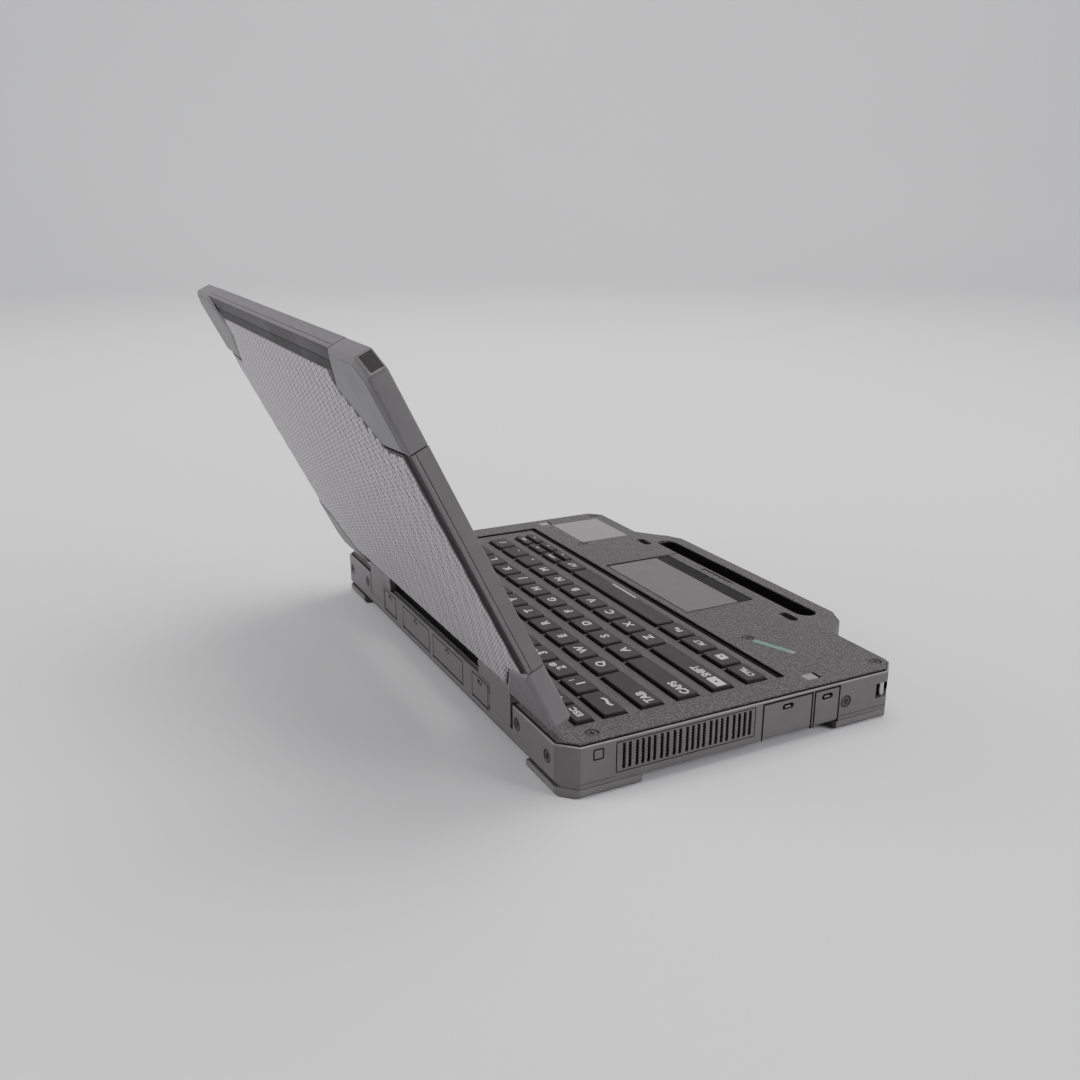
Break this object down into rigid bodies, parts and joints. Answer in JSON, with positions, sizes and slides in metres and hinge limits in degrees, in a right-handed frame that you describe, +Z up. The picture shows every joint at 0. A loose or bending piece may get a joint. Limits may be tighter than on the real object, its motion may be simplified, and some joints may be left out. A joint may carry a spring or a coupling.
{
  "type": "rugged laptop computer",
  "caption": "Rugged clamshell laptop with an open lid, cornered bumpers, a ribbed lid back, hinged port doors, a side vent and a carrying handle at the front.",
  "frame": {"origin": "centre of the base footprint, without the handle, on the plane the feet stand on", "axes": "+X to the user's right, +Y to the rear, +Z up"},
  "size_m": [0.288, 0.2795, 0.1891],
  "materials": {
    "case_metal": "matt powder-coated magnesium alloy, warm mid grey",
    "deck_coat": "textured anti-slip coating, dark warm grey",
    "lid_metal": "matt powder-coated magnesium alloy",
    "lid_pattern": "finely ribbed satin panel, light grey",
    "bumper": "smooth tough moulding, light grey",
    "foot": "firm moulded pad, grey",
    "key_plastic": "fine-grained charcoal keycaps",
    "pad_plastic": "smooth touchpad skin",
    "dark_plastic": "matt black moulding",
    "bezel_plastic": "matt dark frame",
    "screen_glass": "anti-glare cover glass, switched off",
    "display": "display module",
    "steel": "zinc-plated steel",
    "fin_metal": "bare fins",
    "copper": "flattened copper heat pipe",
    "board": "circuit board",
    "battery": "battery moulding",
    "light_bar": "smoked light window"
  },
  "bodies": {
    "base": {"bottom_case": "case_metal", "top_deck": "deck_coat", "carry_handle": "deck_coat", "corner_feet": "foot", "strap_posts": "steel", "keyboard_frame": "deck_coat", "keyboard_backplate": "dark_plastic", "touchpad_frame": "deck_coat", "touchpad_surface": "pad_plastic", "status_light_bar": "light_bar", "case_screws": "steel", "vent_grille": "case_metal", "heatsink_fins": "fin_metal", "heat_pipe": "copper", "fan_housing": "dark_plastic", "motherboard": "board", "memory_module": "board", "solid_state_drive": "dark_plastic", "battery_pack": "battery", "service_cover": "case_metal", "speakers": "dark_plastic", "side_port_sockets": "dark_plastic", "rear_port_sockets": "dark_plastic", "door_hinge_pins": "steel", "hinge_cover": "dark_plastic", "hinge_mount_left": "case_metal", "hinge_mount_right": "case_metal", "lid_hinge_shafts": "steel"},
    "lid": {"lid_hinge_arms": "steel", "lid_back_cover": "lid_metal", "lid_back_panel": "lid_pattern", "screen_bezel": "bezel_plastic", "display_panel": "display", "screen_glass": "screen_glass", "bumper_top_left": "bumper", "bumper_top_right": "bumper", "bumper_bottom_left": "bumper", "bumper_bottom_right": "bumper", "webcam_module": "dark_plastic", "lid_hooks": "steel"},
    "keys_function_row": {"keys_function_row": "key_plastic"},
    "keys_number_row": {"keys_number_row": "key_plastic"},
    "keys_tab_row": {"keys_tab_row": "key_plastic"},
    "keys_caps_row": {"keys_caps_row": "key_plastic"},
    "keys_shift_row": {"keys_shift_row": "key_plastic"},
    "keys_bottom_row": {"keys_bottom_row": "key_plastic"},
    "space_bar": {"space_bar": "key_plastic"},
    "arrow_keys": {"arrow_keys": "key_plastic"},
    "power_button": {"power_button": "key_plastic"},
    "touchpad_button_left": {"touchpad_button_left": "key_plastic"},
    "touchpad_button_right": {"touchpad_button_right": "key_plastic"},
    "battery_latch": {"battery_latch": "dark_plastic"},
    "fan_rotor": {"fan_rotor": "dark_plastic"},
    "side_door_small": {"side_door_small": "case_metal"},
    "side_door_large": {"side_door_large": "case_metal"},
    "rear_door_1": {"rear_door_1": "case_metal"},
    "rear_door_2": {"rear_door_2": "case_metal"},
    "rear_door_3": {"rear_door_3": "case_metal"},
    "rear_door_4": {"rear_door_4": "case_metal"},
    "right_door": {"right_door": "case_metal"}
  },
  "joints": [
    {"name": "lid_hinge", "type": "hinge", "parent": "base", "child": "lid", "pos_m": [0, 0.08725, 0.0302], "axis": [1, 0, 0], "range_deg": [-34, 116]},
    {"name": "keys_function_row_travel", "type": "slide", "parent": "base", "child": "keys_function_row", "axis": [0, 0, -1], "range_m": [0, 0.0015], "stiffness_N_per_m": 500, "springref_m": -0.0015},
    {"name": "keys_number_row_travel", "type": "slide", "parent": "base", "child": "keys_number_row", "axis": [0, 0, -1], "range_m": [0, 0.0015], "stiffness_N_per_m": 500, "springref_m": -0.0015},
    {"name": "keys_tab_row_travel", "type": "slide", "parent": "base", "child": "keys_tab_row", "axis": [0, 0, -1], "range_m": [0, 0.0015], "stiffness_N_per_m": 500, "springref_m": -0.0015},
    {"name": "keys_caps_row_travel", "type": "slide", "parent": "base", "child": "keys_caps_row", "axis": [0, 0, -1], "range_m": [0, 0.0015], "stiffness_N_per_m": 500, "springref_m": -0.0015},
    {"name": "keys_shift_row_travel", "type": "slide", "parent": "base", "child": "keys_shift_row", "axis": [0, 0, -1], "range_m": [0, 0.0015], "stiffness_N_per_m": 500, "springref_m": -0.0015},
    {"name": "keys_bottom_row_travel", "type": "slide", "parent": "base", "child": "keys_bottom_row", "axis": [0, 0, -1], "range_m": [0, 0.0015], "stiffness_N_per_m": 500, "springref_m": -0.0015},
    {"name": "space_bar_travel", "type": "slide", "parent": "base", "child": "space_bar", "axis": [0, 0, -1], "range_m": [0, 0.0015], "stiffness_N_per_m": 500, "springref_m": -0.0015},
    {"name": "arrow_keys_travel", "type": "slide", "parent": "base", "child": "arrow_keys", "axis": [0, 0, -1], "range_m": [0, 0.0015], "stiffness_N_per_m": 500, "springref_m": -0.0015},
    {"name": "power_button_travel", "type": "slide", "parent": "base", "child": "power_button", "axis": [0, 0, -1], "range_m": [0, 0.0015], "stiffness_N_per_m": 500, "springref_m": -0.0015},
    {"name": "touchpad_left_click", "type": "slide", "parent": "base", "child": "touchpad_button_left", "axis": [0, 0, -1], "range_m": [0, 0.0004], "stiffness_N_per_m": 800, "springref_m": -0.0008},
    {"name": "touchpad_right_click", "type": "slide", "parent": "base", "child": "touchpad_button_right", "axis": [0, 0, -1], "range_m": [0, 0.0004], "stiffness_N_per_m": 800, "springref_m": -0.0008},
    {"name": "battery_latch_slide", "type": "slide", "parent": "base", "child": "battery_latch", "axis": [1, 0, 0], "range_m": [0, 0.008], "stiffness_N_per_m": 150, "springref_m": -0.004},
    {"name": "fan_spin", "type": "hinge", "parent": "base", "child": "fan_rotor", "pos_m": [-0.103, 0.034, 0.013], "axis": [0, 0, 1], "continuous": true},
    {"name": "side_door_small_hinge", "type": "hinge", "parent": "base", "child": "side_door_small", "pos_m": [-0.1424, -0.046, 0.00635], "axis": [0, -1, 0], "range_deg": [0, 95]},
    {"name": "side_door_large_hinge", "type": "hinge", "parent": "base", "child": "side_door_large", "pos_m": [-0.1424, -0.0236, 0.00635], "axis": [0, -1, 0], "range_deg": [0, 95]},
    {"name": "right_door_hinge", "type": "hinge", "parent": "base", "child": "right_door", "pos_m": [0.1424, -0.0236, 0.00635], "axis": [0, 1, 0], "range_deg": [0, 95]},
    {"name": "rear_door_1_hinge", "type": "hinge", "parent": "base", "child": "rear_door_1", "pos_m": [-0.0618, 0.08865, 0.01135], "axis": [-1, 0, 0], "range_deg": [0, 95]},
    {"name": "rear_door_2_hinge", "type": "hinge", "parent": "base", "child": "rear_door_2", "pos_m": [-0.022, 0.08865, 0.01135], "axis": [-1, 0, 0], "range_deg": [0, 95]},
    {"name": "rear_door_3_hinge", "type": "hinge", "parent": "base", "child": "rear_door_3", "pos_m": [0.022, 0.08865, 0.01135], "axis": [-1, 0, 0], "range_deg": [0, 95]},
    {"name": "rear_door_4_hinge", "type": "hinge", "parent": "base", "child": "rear_door_4", "pos_m": [0.0618, 0.08865, 0.01135], "axis": [-1, 0, 0], "range_deg": [0, 95]}
  ]
}
